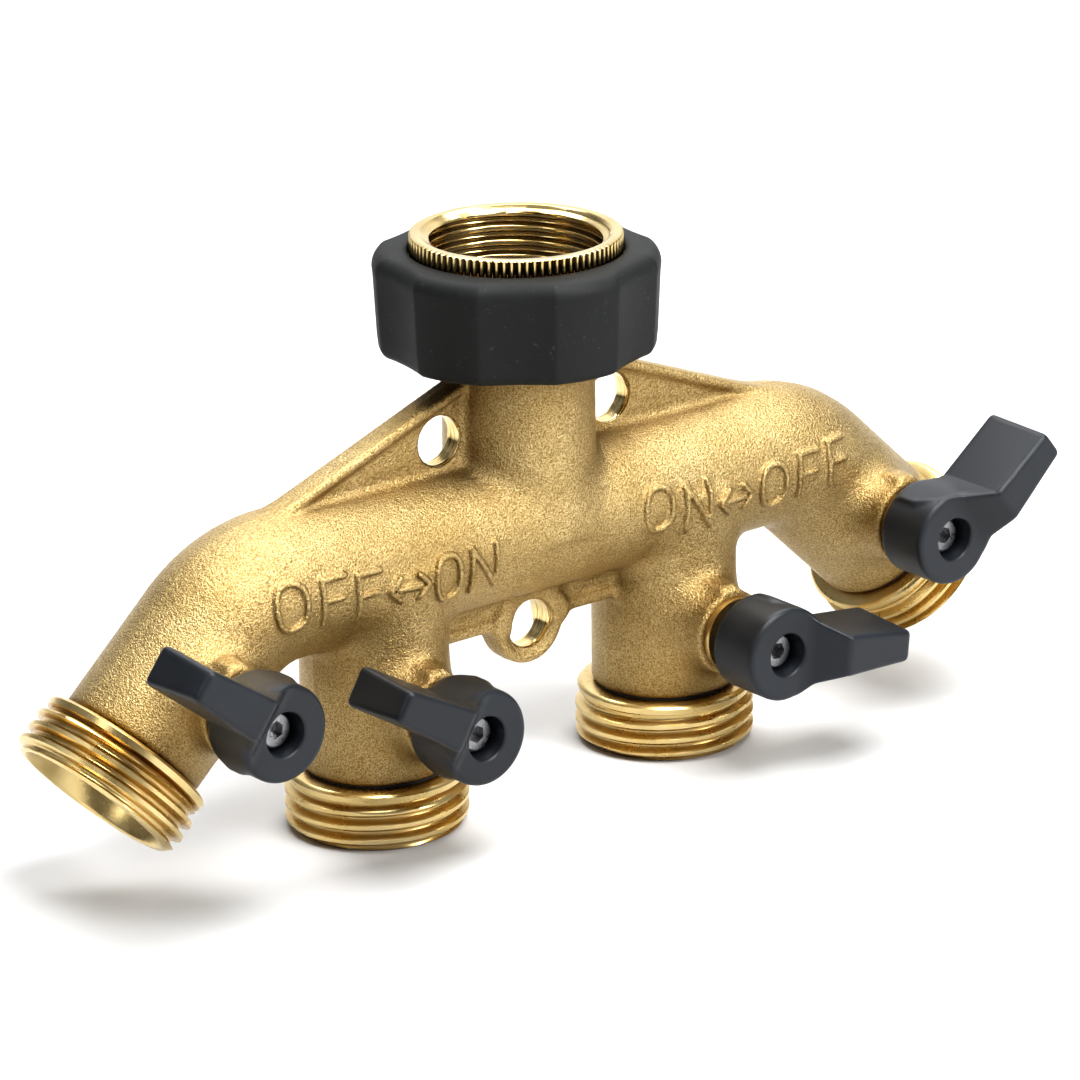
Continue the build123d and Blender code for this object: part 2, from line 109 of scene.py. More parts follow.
# -------------------------------------------------------------------------------------------
# Materials
# -------------------------------------------------------------------------------------------
class Shader:
    """A node-based material: short calls for the nodes that every surface here shares."""

    def __init__(self, name, metallic=0.0, roughness=0.5, color=(0.5, 0.5, 0.5)):
        self.material = bpy.data.materials.new(name)
        self.material.use_nodes = True
        self.tree = self.material.node_tree
        self.shader = self.tree.nodes["Principled BSDF"]
        self.shader.inputs["Metallic"].default_value = metallic
        self.shader.inputs["Roughness"].default_value = roughness
        self.shader.inputs["Base Color"].default_value = (*color, 1)
        self.place = self.node("ShaderNodeTexCoord").outputs["Object"]

    def node(self, kind, **settings):
        made = self.tree.nodes.new(kind)
        for key, value in settings.items():
            setattr(made, key, value)
        return made

    def link(self, source, target):
        self.tree.links.new(source, target)

    def scaled(self, scale):
        """Object coordinates stretched by a vector."""
        made = self.node("ShaderNodeMapping")
        made.inputs["Scale"].default_value = scale
        self.link(self.place, made.inputs["Vector"])
        return made.outputs["Vector"]

    def noise(self, scale, detail=4.0, rough=0.6, vector=None):
        made = self.node("ShaderNodeTexNoise")
        made.inputs["Scale"].default_value = scale
        made.inputs["Detail"].default_value = detail
        made.inputs["Roughness"].default_value = rough
        self.link(vector or self.place, made.inputs["Vector"])
        return made.outputs["Fac"]

    def ramp(self, source, *stops):
        made = self.node("ShaderNodeValToRGB")
        elements = made.color_ramp.elements
        while len(elements) < len(stops):
            elements.new(0.5)
        for element, (at, color) in zip(elements, stops):
            element.position = at
            element.color = (*color, 1) if len(color) == 3 else color
        self.link(source, made.inputs["Fac"])
        return made.outputs["Color"]

    def span(self, source, low, high, to_low=0.0, to_high=1.0):
        made = self.node("ShaderNodeMapRange")
        made.inputs["From Min"].default_value = low
        made.inputs["From Max"].default_value = high
        made.inputs["To Min"].default_value = to_low
        made.inputs["To Max"].default_value = to_high
        self.link(source, made.inputs["Value"])
        return made.outputs["Result"]

    def mix(self, factor, first, second):
        made = self.node("ShaderNodeMix", data_type="RGBA")
        # sockets 6 and 7 are the two colors of a color mix
        sockets = (made.inputs[0], made.inputs[6], made.inputs[7])
        for source, socket in zip((factor, first, second), sockets):
            if isinstance(source, tuple):
                socket.default_value = (*source, 1)
            elif isinstance(source, (int, float)):
                socket.default_value = source
            else:
                self.link(source, socket)
        return made.outputs[2]

    def math(self, kind, first, second=0.0):
        made = self.node("ShaderNodeMath", operation=kind)
        for source, socket in ((first, made.inputs[0]), (second, made.inputs[1])):
            if isinstance(source, (int, float)):
                socket.default_value = source
            else:
                self.link(source, socket)
        return made.outputs[0]

    def bump(self, height, strength, distance, after=None):
        made = self.node("ShaderNodeBump")
        made.inputs["Strength"].default_value = strength
        made.inputs["Distance"].default_value = distance
        self.link(height, made.inputs["Height"])
        if after is not None:
            self.link(after, made.inputs["Normal"])
        self.link(made.outputs["Normal"], self.shader.inputs["Normal"])
        return made.outputs["Normal"]

    def set(self, socket, source):
        self.link(source, self.shader.inputs[socket])

    def hollow(self, distance):
        """Near 0 in recesses and 1 on open surfaces."""
        made = self.node("ShaderNodeAmbientOcclusion", samples=6)
        made.inputs["Distance"].default_value = distance
        return made.outputs["AO"]


def cast_brass():
    s = Shader("cast_brass", metallic=1.0, roughness=0.42)
    cloud = s.noise(55.0, 5.0, 0.65)
    grain = s.noise(4000.0, 2.0, 0.6)
    pits = s.noise(2100.0, 3.0, 0.6)
    open_sky = s.hollow(0.012)
    gold = s.ramp(
        cloud,
        (0.3, (0.47, 0.345, 0.15)),
        (0.55, (0.58, 0.445, 0.215)),
        (0.8, (0.66, 0.53, 0.285)),
    )
    dark_grain = s.span(grain, 0.42, 0.60, 0.0, 0.8)
    speckled = s.mix(dark_grain, gold, (0.24, 0.145, 0.04))
    # painted shade: where the ambient occlusion finds nearby surfaces, in creases, recesses and on
    # the legs under the tube, the colour is mixed towards a dark brown
    recess = s.span(open_sky, 0.45, 0.95, 1.0, 0.0)
    cast = s.mix(s.math("MULTIPLY", recess, 0.8), speckled, (0.15, 0.08, 0.018))
    # drilled hole walls, told by their distance from the three holes' axes
    place = s.node("ShaderNodeSeparateXYZ")
    s.link(s.place, place.inputs[0])
    nearest = None
    for x, h in ((-UPPER_HOLE[0], UPPER_HOLE[1]), UPPER_HOLE, LOWER_HOLE):
        away_x = s.math("SUBTRACT", place.outputs["X"], x * MM)
        away_z = s.math("SUBTRACT", place.outputs["Z"], (TUBE_Z + h) * MM)
        square_x = s.math("MULTIPLY", away_x, away_x)
        square_z = s.math("MULTIPLY", away_z, away_z)
        apart = s.math("SQRT", s.math("ADD", square_x, square_z))
        nearest = apart if nearest is None else s.math("MINIMUM", nearest, apart)
    drilled = s.span(nearest, (HOLE_RADIUS + 0.08) * MM, (HOLE_RADIUS + 0.22) * MM, 1.0, 0.0)
    streak = s.noise(240.0, 3.0, 0.6, s.scaled((1.0, 12.0, 1.0)))
    wall = s.ramp(
        streak,
        (0.35, (0.40, 0.25, 0.08)),
        (0.5, (0.86, 0.66, 0.30)),
        (0.75, (0.95, 0.80, 0.48)),
    )
    s.set("Base Color", s.mix(drilled, cast, wall))
    rough = s.span(pits, 0.3, 0.7, 0.30, 0.46)
    s.set("Roughness", s.mix(drilled, rough, (0.16, 0.16, 0.16)))
    soft = s.math("SUBTRACT", 1.0, drilled)
    height = s.math("MULTIPLY", s.math("ADD", grain, s.math("MULTIPLY", pits, 1.1)), soft)
    first = s.bump(height, 0.9, 0.0002)
    s.bump(s.noise(190.0, 3.0, 0.5), 0.35, 0.0006, first)
    return s.material


def machined_brass(name, rough=0.2, painted_shade_color=(0.20, 0.105, 0.02)):
    s = Shader(name, metallic=1.0, roughness=rough)
    cloud = s.noise(130.0, 4.0, 0.6)
    fine = s.noise(2200.0, 3.0, 0.6)
    open_sky = s.hollow(0.0025)
    gold = s.ramp(
        cloud,
        (0.3, (0.62, 0.45, 0.18)),
        (0.6, (0.74, 0.58, 0.28)),
        (0.85, (0.80, 0.67, 0.40)),
    )
    # painted shade: thread roots, knurl gaps and other recesses are mixed towards the painted
    # shade colour by ambient occlusion
    recess = s.span(open_sky, 0.25, 0.85, 0.95, 0.0)
    s.set("Base Color", s.mix(recess, gold, painted_shade_color))
    s.set("Roughness", s.span(cloud, 0.3, 0.75, rough * 0.75, rough * 1.5))
    s.bump(fine, 0.25, 0.00004)
    return s.material


def rubber(name, color, rough=0.62, dusty=0.35):
    s = Shader(name, roughness=rough, color=color)
    s.shader.inputs["Specular IOR Level"].default_value = 0.3
    cloud = s.noise(60.0, 5.0, 0.6)
    fine = s.noise(3200.0, 3.0, 0.6)
    dust = s.noise(900.0, 4.0, 0.75)
    lighter = tuple(c * 1.6 + 0.002 for c in color)
    base = s.mix(s.span(cloud, 0.3, 0.75), color, lighter)
    specks = s.math("MULTIPLY", s.span(dust, 0.62, 0.74), dusty)
    s.set("Base Color", s.mix(specks, base, (0.10, 0.10, 0.105)))
    s.set("Roughness", s.span(cloud, 0.25, 0.75, rough - 0.08, rough + 0.1))
    s.bump(fine, 0.35, 0.00005)
    return s.material


def lever_plastic():
    s = Shader("lever_plastic", roughness=0.42, color=(0.022, 0.026, 0.033))
    s.shader.inputs["Specular IOR Level"].default_value = 0.36
    cloud = s.noise(80.0, 4.0, 0.6)
    fine = s.noise(2400.0, 3.0, 0.65)
    darker = (0.008, 0.0095, 0.012)
    lighter = (0.013, 0.016, 0.021)
    s.set("Base Color", s.mix(s.span(cloud, 0.3, 0.75), darker, lighter))
    s.set("Roughness", s.span(cloud, 0.3, 0.75, 0.36, 0.48))
    s.bump(fine, 0.22, 0.00005)
    return s.material


def steel(name, color=(0.62, 0.62, 0.63), rough=0.28):
    s = Shader(name, metallic=1.0, roughness=rough)
    fine = s.noise(1500.0, 3.0, 0.6)
    shade = tuple(c * 0.8 for c in color)
    s.set("Base Color", s.mix(s.span(fine, 0.3, 0.7), color, shade))
    s.set("Roughness", s.span(fine, 0.3, 0.7, rough * 0.8, rough * 1.3))
    s.bump(fine, 0.15, 0.00004)
    return s.material


def seat_plastic():
    s = Shader("seat_plastic", roughness=0.4, color=(0.82, 0.82, 0.80))
    fine = s.noise(1200.0, 3.0, 0.6)
    s.set("Base Color", s.mix(s.span(fine, 0.3, 0.7), (0.86, 0.86, 0.84), (0.74, 0.74, 0.71)))
    s.bump(fine, 0.1, 0.00004)
    return s.material


BRASS_CAST = cast_brass()
# where a colour is given, it is the painted shade colour of that brass's recesses
BRASS_THREAD = machined_brass("thread_brass", 0.27, (0.34, 0.18, 0.03))
BRASS_NUT = machined_brass("nut_brass", 0.16, (0.17, 0.11, 0.045))
BRASS_INNER = machined_brass("inner_brass", 0.3)
RUBBER_GRIP = rubber("grip_rubber", (0.004, 0.0045, 0.0042))
RUBBER_SEAL = rubber("seal_rubber", (0.035, 0.038, 0.045), 0.5, 0.1)
PLASTIC_LEVER = lever_plastic()
PLASTIC_SEAT = seat_plastic()
STEEL = steel("screw_steel", (0.30, 0.30, 0.31), 0.3)
CHROME = steel("ball_chrome", (0.78, 0.78, 0.80), 0.12)


def paint(target, material):
    target.data.materials.clear()
    target.data.materials.append(material)


# -------------------------------------------------------------------------------------------
# Shapes from distance fields: negative inside, in millimetres
# -------------------------------------------------------------------------------------------
def join(a, b, blend):
    """The union of two fields, with a fillet about as wide as blend."""
    near = np.maximum(blend - np.abs(a - b), 0) / blend
    return np.minimum(a, b) - near * near * blend * 0.25


def meet(a, b, blend):
    """The intersection of two fields, with the edge between them rounded."""
    return -join(-a, -b, blend)


def grid(low, high, step):
    axes = [np.arange(a, b, step, dtype=np.float32) for a, b in zip(low, high)]
    return np.meshgrid(*axes, indexing="ij", sparse=True)


def field_mesh(name, values, low, step, material):
    """The surface where the field is zero, as a smooth closed mesh."""
    volume = openvdb.FloatGrid(float(values.max()))
    volume.copyFromArray(np.ascontiguousarray(values, dtype=np.float32))
    points, quads = volume.convertToQuads(0.0)
    points = (np.asarray(points, dtype=np.float64) * step + np.asarray(low)) * MM
    a, b, c, d = (points[quads[:, i]] for i in range(4))
    halves = np.einsum("ij,ij->i", a, np.cross(b, c) + np.cross(c, d))
    if halves.sum() < 0:
        quads = quads[:, ::-1]
    mesh = bpy.data.meshes.new(name)
    mesh.from_pydata(points.tolist(), [], quads.tolist())
    mesh.shade_smooth()
    made = bpy.data.objects.new(name, mesh)
    bpy.context.scene.collection.objects.link(made)
    paint(made, material)
    return made


def run_distance(x, y, h):
    """Distance from the manifold's centre line: a straight tube whose ends bend down into legs."""
    across = np.abs(x)
    level = np.sqrt(np.maximum(across - BEND_START, 0) ** 2 + h * h)
    bend_x = across - BEND_START
    bend_h = h + BEND_RADIUS
    turn = np.arctan2(bend_x, bend_h)
    bend = np.abs(np.sqrt(bend_x**2 + bend_h**2) - BEND_RADIUS)
    bend = np.where((turn > 0) & (turn < TURN), bend, 1e3)
    start_x = BEND_START + BEND_RADIUS * math.sin(TURN)
    start_h = -BEND_RADIUS + BEND_RADIUS * math.cos(TURN)
    along = (across - start_x) * SIN_TILT - (h - start_h) * COS_TILT
    aside = (across - start_x) * COS_TILT + (h - start_h) * SIN_TILT
    leg = np.sqrt(aside**2 + np.minimum(along, 0) ** 2)
    flat = np.minimum(np.minimum(level, bend), leg)
    return np.sqrt(flat * flat + y * y)


def stroke(x, h, ax, ah, bx, bh):
    """Distance from a straight pen stroke."""
    dx = bx - ax
    dh = bh - ah
    t = np.clip(((x - ax) * dx + (h - ah) * dh) / (dx * dx + dh * dh), 0, 1)
    return np.hypot(x - ax - t * dx, h - ah - t * dh)


def letter_strokes(letter, width, height):
    """Straight strokes of a plain capital, from its lower left corner."""
    w, t = width, height
    if letter == "O":
        ring = []
        for step in range(20):
            turn = 2 * math.pi * step / 20
            right = math.copysign(abs(math.cos(turn)) ** 0.8, math.cos(turn))
            up = math.copysign(abs(math.sin(turn)) ** 0.8, math.sin(turn))
            ring.append((0.5 * w * (1 + right), 0.5 * t * (1 + up)))
        return list(zip(ring, ring[1:] + ring[:1]))
    if letter == "F":
        return [((0, 0), (0, t)), ((0, t), (w, t)), ((0, 0.52 * t), (0.85 * w, 0.52 * t))]
    if letter == "N":
        return [((0, 0), (0, t)), ((0, t), (w, 0)), ((w, 0), (w, t))]
    middle = 0.5 * t
    head = 0.26 * t
    return [
        ((head, middle - head), (0, middle)),
        ((0, middle), (head, middle + head)),
        ((w - head, middle - head), (w, middle)),
        ((w, middle), (w - head, middle + head)),
        ((head * 0.9, middle), (w - head * 0.9, middle)),
    ]


# Each marking: letters with the x of their left side, the height of their foot, and their width
MARKS = [
    ("O", -52.2, -2.6, 5.2),
    ("F", -44.2, -3.2, 4.0),
    ("F", -38.0, -3.8, 4.0),
    ("<", -32.6, -4.2, 6.6),
    ("O", -24.4, -4.4, 4.6),
    ("N", -17.6, -4.5, 4.4),
    ("O", 14.8, -3.0, 5.0),
    ("N", 22.4, -4.0, 4.2),
    ("<", 28.6, -4.6, 6.6),
    ("O", 37.2, -4.2, 4.8),
    ("F", 44.6, -3.8, 3.8),
    ("F", 50.6, -3.2, 3.8),
]
LETTER_HEIGHT = 6.6
STROKE_HALF = 0.42
STROKE_RISE = 0.7


def marking_distance(x, h):
    """Distance from the nearest pen stroke of the open and closed markings."""
    flat_x, flat_h = np.broadcast_arrays(x[:, 0, :], h[:, 0, :])
    nearest = np.full(flat_x.shape, 1e3, dtype=np.float32)
    for letter, left, foot, width in MARKS:
        for (ax, ah), (bx, bh) in letter_strokes(letter, width, LETTER_HEIGHT):
            away = stroke(flat_x, flat_h, left + ax, foot + ah, left + bx, foot + bh)
            nearest = np.minimum(nearest, away)
    return nearest[:, None, :]


def manifold_field(x, y, h):
    across = np.abs(x)
    run = run_distance(x, y, h)
    joint_x = OUTER_X - OUTLET_LENGTH * SIN_TILT
    joint_h = -OUTER_DROP + OUTLET_LENGTH * COS_TILT
    beyond = (across - joint_x) * SIN_TILT - (h - joint_h) * COS_TILT
    body = run - TUBE_RADIUS
    # inner legs and the neck
    inner_away = np.sqrt((across - INNER_X) ** 2 + y * y)
    body = join(body, meet(inner_away - LEG_RADIUS, h, 1.0), 2.6)
    axis_away = np.sqrt(x * x + y * y)
    body = join(body, meet(axis_away - NECK_RADIUS, -h, 1.0), 2.4)
    # webs beside the neck, with a bead along the slope
    slope = 0.38
    web_top = 28.1
    web_half = 1.6
    bead_half = 2.25
    bead_depth = 1.6
    top_line = (h - web_top + slope * across) / math.sqrt(1 + slope * slope)
    plate = meet(np.abs(y) - web_half, top_line + 0.6, 0.6)
    plate = meet(plate, meet(-h, across - MEET_X - 4, 0.5), 0.5)
    body = join(body, plate, 1.2)
    bead = meet(meet(np.abs(y) - bead_half, top_line, 0.9), -top_line - bead_depth, 0.9)
    bead = meet(bead, meet(-h, across - MEET_X - 2, 0.5), 0.5)
    body = join(body, bead, 0.7)
    # flange between the inner legs, its bead, and the ear
    flange_bottom = -15.6
    ear_radius = 5.9
    ear_ring_radius = 6.1
    foot = flange_bottom - h
    flange = meet(meet(np.abs(y) - web_half, foot, 0.6), meet(h, across - INNER_X, 0.5), 0.5)
    ear_away = np.sqrt(x * x + (h - LOWER_HOLE[1]) ** 2)
    ear = meet(np.abs(y) - 1.7, ear_away - ear_radius, 0.6)
    lower = join(flange, ear, 3.0)
    edge = meet(meet(np.abs(y) - 2.2, foot, 0.8), -foot - 1.7, 0.8)
    edge = meet(edge, across - INNER_X, 0.5)
    ring = meet(np.abs(y) - bead_half, ear_away - ear_ring_radius, 0.8)
    ring = meet(ring, ear_ring_radius - 1.5 - ear_away, 0.8)
    lower = join(lower, join(edge, ring, 2.0), 0.7)
    body = join(body, lower, 1.2)
    # stem bosses, each with a stop lug for its lever
    for valve_x, valve_h in (OUTER_VALVE, INNER_VALVE):
        stem_away = np.sqrt((across - valve_x) ** 2 + (h - valve_h) ** 2)
        boss = meet(stem_away - BOSS_RADIUS, -y - BOSS_REACH, 0.7)
        body = join(body, meet(boss, y, 1.0), 4.2)
        lug_up = np.abs(h - valve_h - 6.1)
        lug_out = np.abs(y + 13.8)
        lug = meet(np.abs(across - valve_x) - 1.5, lug_up - 1.1, 0.8)
        lug = meet(lug, lug_out - 1.6, 0.8)
        body = join(body, lug, 1.6)
    # markings stand proud of the tube's front
    mark = meet(marking_distance(x, h) - STROKE_HALF, body - STROKE_RISE, 0.35)
    mark = np.where(y < -6, mark, 1e3)
    body = join(body, mark, 0.3)
    # faint parting line
    body = body - 0.1 * np.exp(-((y / 0.4) ** 2))
    # flat ends at the outlet joints and the neck's top
    body = meet(body, beyond, 0.8)
    body = meet(body, OUTLET_LENGTH - INNER_DROP - h, 0.8)
    body = meet(body, np.where(axis_away < 13, h - NECK_TOP, -1.0), 0.3)
    # mounting holes
    for hole_x, hole_h in (UPPER_HOLE, LOWER_HOLE):
        hole = np.sqrt((across - hole_x) ** 2 + (h - hole_h) ** 2) - HOLE_RADIUS
        body = meet(body, -hole, 0.35)
    # passages
    axis_up = (OUTER_VALVE[0] - across) * SIN_TILT + (h - OUTER_VALVE[1]) * COS_TILT
    aside = (across - OUTER_VALVE[0]) * COS_TILT + (h - OUTER_VALVE[1]) * SIN_TILT
    outer_away = np.sqrt(aside**2 + y * y)
    hollow = np.maximum(run - PASSAGE_RADIUS, 8.5 - axis_up)
    inner_up = h - INNER_VALVE[1]
    leg_bore = np.maximum(inner_away - PASSAGE_RADIUS, 8.5 - inner_up)
    hollow = np.minimum(hollow, np.maximum(leg_bore, h))
    hollow = np.minimum(hollow, np.maximum(axis_away - PASSAGE_RADIUS, -h))
    for away, up in ((outer_away, axis_up), (inner_away, inner_up)):
        hollow = np.minimum(hollow, np.maximum(away - LEDGE_RADIUS, np.abs(up) - 9.5))
        chamber = np.maximum(away - BALL_CHAMBER_RADIUS, np.abs(up) - SEAT_END)
        hollow = np.minimum(hollow, chamber)
        hollow = np.minimum(hollow, np.maximum(away - SLEEVE_RADIUS, np.abs(up + 10.9) - 4.0))
    for valve_x, valve_h in (OUTER_VALVE, INNER_VALVE):
        stem_away = np.sqrt((across - valve_x) ** 2 + (h - valve_h) ** 2)
        hollow = np.minimum(hollow, np.maximum(stem_away - GLAND_RADIUS, y + 10.2))
    return np.maximum(body, -hollow)


def build_manifold():
    step = 0.34
    low = (-79.0, -16.9, -32.2)
    high = (79.2, 12.2, 29.2)
    x, y, h = grid(low, high, step)
    values = manifold_field(x, y, h)
    corner = (low[0], low[1], low[2] + TUBE_Z)
    made = field_mesh("manifold_casting", values, corner, step, BRASS_CAST)
    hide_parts("manifold_body")
    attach(made, "manifold")


# -------------------------------------------------------------------------------------------
# Levers: a round hub with a paddle that leans outwards
# -------------------------------------------------------------------------------------------
def lever_field(u, w, out):
    """u runs along the blade, w across it, and out is the distance from the valve's axis."""
    away = np.sqrt(u * u + w * w)
    hub = meet(away - HUB_RADIUS, meet(out - HUB_FRONT, HUB_BACK - out, 0.5), 0.9)
    side = np.abs(w)
    taper = np.clip((out - BLADE_BACK) / 12.5, 0, 1)
    tip_half = 3.1 - 0.75 * taper
    root_half = 5.53
    neck_half = 3.2
    root_u = 3.7
    neck_u = 8.1
    root = root_half - (u - root_u) * (root_half - neck_half) / (neck_u - root_u)
    shank = neck_half + (u - neck_u) * (tip_half - neck_half) / 12.4
    flank = np.where(u < neck_u, (side - root) * 0.88, side - shank)
    facet = (out - HUB_FRONT - (u - root_u) * 4.9 / 4.4) * 0.67
    top = out - 30.98 + (u - neck_u) * 0.5 / 12.3
    blade = meet(flank, meet(facet, top, 0.5), 0.8)
    blade = meet(blade, meet(u - BLADE_REACH, BLADE_BACK - out, 0.8), 1.0)
    blade = meet(blade, -u, 0.5)
    body = join(hub, blade, 1.2)
    # recess for the screw's head, socket for the stem's square, and a bore between them
    recess_radius = 3.2
    recess_floor = 21.6
    socket_half = 2.1
    socket_end = 20.2
    bore_radius = 1.7
    recess = np.maximum(away - recess_radius, recess_floor - out)
    socket = np.maximum(np.maximum(np.abs(u), np.abs(w)) - socket_half, out - socket_end)
    bore = np.maximum(away - bore_radius, 19.0 - out)
    body = meet(body, -recess, 0.35)
    return np.maximum(body, -np.minimum(socket, bore))


def build_levers():
    step = 0.2
    low = (-7.8, -7.8, 16.6)
    high = (21.6, 7.9, 32.0)
    u, w, out = grid(low, high, step)
    values = lever_field(u, w, out)
    # each lever: its side, its valve, how far out it stands, and its angle from +X towards +Z
    levers = (
        (-1, OUTER_VALVE, 0.0, 142.9),
        (-1, INNER_VALVE, 0.0, 149.5),
        (1, INNER_VALVE, THIRD_LEVER_STAND_OFF, -6.3),
        (1, OUTER_VALVE, 0.0, 38.6),
    )
    for number, (side, valve, stand_off, angle) in enumerate(levers, 1):
        made = field_mesh(f"lever_handle_{number}", values, low, step, PLASTIC_LEVER)
        turn = math.radians(angle)
        along = Vector((math.cos(turn), 0, math.sin(turn)))
        outward = Vector((0, -1, 0))
        sideways = outward.cross(along)
        place = Matrix((along, sideways, outward)).transposed().to_4x4()
        place.translation = Vector((side * valve[0], -stand_off, TUBE_Z + valve[1])) * MM
        made.data.transform(place)
        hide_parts(f"lever_{number}")
        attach(made, f"valve_{number}")


# -------------------------------------------------------------------------------------------
# Turned pieces
# -------------------------------------------------------------------------------------------
def turned(name, rows, material, steps=288, thread=None):
    """A closed ring from rows round the Z axis. A row is (radius, z), and a radius may be a
    function of the angles. A thread is (row before it, function of depth and height giving the
    radius): its strip joins that row to the next one."""
    angles = np.linspace(0, 2 * math.pi, steps, endpoint=False)
    points = []
    for radius, z in rows:
        size = radius(angles) if callable(radius) else np.full(steps, float(radius))
        ring = (size * np.cos(angles), size * np.sin(angles), np.full(steps, z))
        points.append(np.column_stack(ring))
    count = len(rows)
    faces = []
    for row in range(count):
        if thread and row == thread[0]:
            continue
        here = row * steps
        there = (row + 1) % count * steps
        for i in range(steps):
            j = (i + 1) % steps
            faces.append((here + i, here + j, there + j, there + i))
    if thread:
        ends = sorted((rows[thread[0]][1], rows[thread[0] + 1][1]))
        strip, strip_faces = thread_strip(ends[0], ends[1], thread[1], steps)
        first = count * steps
        points.append(strip)
        faces += [tuple(first + corner for corner in face) for face in strip_faces]
    points = np.concatenate(points) * MM
    mesh = bpy.data.meshes.new(name)
    mesh.from_pydata(points.tolist(), [], faces)
    shape = bmesh.new()
    shape.from_mesh(mesh)
    bmesh.ops.remove_doubles(shape, verts=shape.verts, dist=0.0002 * MM)
    bmesh.ops.recalc_face_normals(shape, faces=shape.faces)
    shape.to_mesh(mesh)
    shape.free()
    mesh.validate()
    mesh.shade_smooth()
    mesh.set_sharp_from_angle(angle=math.radians(50))
    made = bpy.data.objects.new(name, mesh)
    bpy.context.scene.collection.objects.link(made)
    paint(made, material)
    return made


def thread_strip(low, high, radius_at, steps):
    """Points and faces of a right-hand thread's skin between two heights, as one winding strip."""
    turns = math.ceil((high - low) / THREAD_PITCH) + 1
    count = steps * turns + 1
    angles = 2 * math.pi * np.arange(count)[:, None] / steps
    heights = low + THREAD_PITCH * (angles / (2 * math.pi) - 1 + THREAD_SHARES[None, :])
    heights = np.clip(heights, low, high)
    radii = radius_at(THREAD_DEPTHS[None, :] + 0 * heights, heights)
    points = np.stack((radii * np.cos(angles), radii * np.sin(angles), heights), axis=-1)
    points = points.reshape(-1, 3)
    wide = len(THREAD_SHARES)
    faces = []
    for step in range(count - 1):
        for share in range(wide - 1):
            here = step * wide + share
            faces.append((here, here + wide, here + wide + 1, here + 1))
    return points, faces


def build_outlets():
    end = -END_TO_VALVE
    collar = -VALVE_TO_JOINT - 0.3
    thread_top = collar - 1.9
    rows = [(LEDGE_RADIUS, -SEAT_END), (LEDGE_RADIUS, -VALVE_TO_JOINT)]
    rows += [(7.4, -VALVE_TO_JOINT - 1.4), (11.1, -VALVE_TO_JOINT - 2.8)]
    rows += [(11.1, end + 0.5), (11.5, end)]
    rows += [(ROOT_RADIUS, end + 0.01), (ROOT_RADIUS, thread_top + 0.2)]
    rows += [(12.9, thread_top + 0.5), (13.1, collar - 0.5), (12.8, collar - 0.15)]
    rows += [(12.4, collar), (SLEEVE_RADIUS - 0.05, collar), (SLEEVE_RADIUS - 0.05, -SEAT_END)]

    def male(depth, z):
        fade = np.clip((thread_top + 0.2 - z) / 0.9, 0, 1)
        chamfer = ROOT_RADIUS + (z - end - 0.01) * 1.2
        full_depth = CREST_RADIUS - 0.02 - ROOT_RADIUS
        return np.minimum(ROOT_RADIUS + full_depth * depth * fade, chamfer)

    # each outlet: its side, its valve, and 1 if its leg is tilted
    places = (
        (-1, OUTER_VALVE, 1),
        (-1, INNER_VALVE, 0),
        (1, INNER_VALVE, 0),
        (1, OUTER_VALVE, 1),
    )
    for number, (side, valve, tilted) in enumerate(places, 1):
        made = turned(f"outlet_thread_{number}", rows, BRASS_THREAD, thread=(6, male))
        # the threads start at a different angle on each outlet
        start = Matrix.Rotation(number * 1.3, 4, "Z")
        turn = Matrix.Rotation(-side * tilted * TILT, 4, "Y") @ start
        turn.translation = Vector((side * valve[0], 0, TUBE_Z + valve[1])) * MM
        made.data.transform(turn)
        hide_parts(f"outlet_fitting_{number}")
        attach(made, "manifold")


def build_nut():
    teeth = 88
    rim_radius = 15.48
    thread_root = 13.5

    def knurl(depth):
        def radius(angles):
            ridge = np.abs(np.mod(angles * teeth / (2 * math.pi), 1.0) - 0.5) * 2
            return rim_radius - depth * np.clip(1.35 - 1.9 * ridge, 0, 1)

        return radius

    def female(depth, z):
        fade = np.clip((top - 0.4 - z) / 0.35, 0, 1) * np.clip((z - floor) / 0.4, 0, 1)
        return thread_root - depth * fade

    lip = NUT_BOTTOM + 2.8
    floor = MOUTH_RISE - 9.0
    top = MOUTH_RISE
    rows = [(9.25, NUT_BOTTOM), (NUT_RADIUS, NUT_BOTTOM)]
    rows += [(NUT_RADIUS, top - 3.3), (15.0, top - 3.3)]
    rows += [(knurl(0.42), top - 3.2), (knurl(0.42), top - 0.45), (knurl(0.2), top - 0.2)]
    rows += [(15.15, top - 0.02), (15.0, top), (14.05, top), (13.95, top - 0.05)]
    rows += [(thread_root, top - 0.4), (thread_root, floor)]
    rows += [(12.3, floor - 0.05), (12.3, lip), (9.25, lip)]
    made = turned("inlet_nut", rows, BRASS_NUT, teeth * 8, thread=(len(rows) - 5, female))
    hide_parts("swivel_nut")
    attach(made, "nut")


def grip_outline(angles):
    """The grip's outer radius by angle: six round ridges, and a shallow scoop between each two."""
    first_scoop = math.radians(-128.6)
    local = np.mod(angles - first_scoop + math.pi / 6, math.pi / 3) - math.pi / 6
    edge = math.radians(15.5)
    deepest = 19.85
    ridge = 20.96
    rise = ridge * math.cos(edge) - deepest
    aside = 20.3 * np.sin(local)
    scoop = (deepest + rise * (aside / (ridge * math.sin(edge))) ** 2) / np.cos(local)
    return np.where(np.abs(local) < edge, scoop, ridge)


